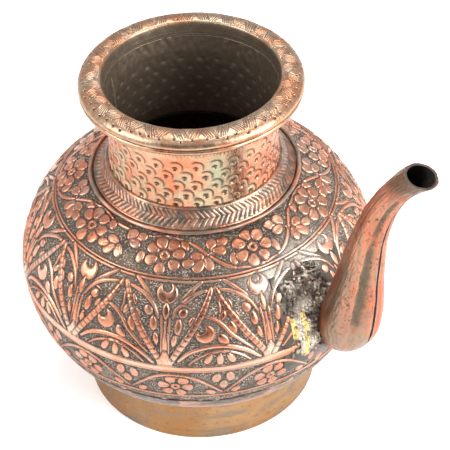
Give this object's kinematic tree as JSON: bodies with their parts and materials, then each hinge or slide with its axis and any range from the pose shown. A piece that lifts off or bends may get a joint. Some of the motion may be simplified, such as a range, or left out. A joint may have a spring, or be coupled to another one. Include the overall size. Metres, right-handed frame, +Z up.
{
  "type": "spouted water jug",
  "caption": "Globular beaten-copper water jug with a wide sleeve neck, rolled rim, brass foot ring and an upswept curved spout; chased floral bands over the body.",
  "frame": {"origin": "centre of the foot ring's resting plane, on the vessel's axis", "axes": "+Z up along the vessel's axis; -Y is the front; the spout leans out between -Y and +X, 45 degrees from -Y"},
  "size_m": [0.2026, 0.2026, 0.2102],
  "materials": {
    "copper": "chased, worn satin copper with dark recesses",
    "copper_plain": "hammered satin copper, browned",
    "neck": "chased copper with pale and olive wear",
    "rim": "pale worn copper, hatched and polished by handling",
    "foot": "satin brass",
    "spout": "reddish satin copper with olive patina in the flutes",
    "solder": "rough dull solder",
    "braze": "rough braze"
  },
  "bodies": {
    "root": {"lower_bowl": "copper_plain", "upper_shell": "copper", "belly_seam_braze": "braze", "neck_sleeve": "neck", "neck_seam_strip": "braze", "collar_band": "neck", "collar_bead": "copper_plain", "rim_ring": "rim", "lip_bead": "rim", "foot_ring": "foot", "foot_solder": "solder", "spout_left_half": "spout", "spout_right_half": "spout", "root_solder_left": "solder", "root_solder_right": "solder"}
  },
  "joints": []
}
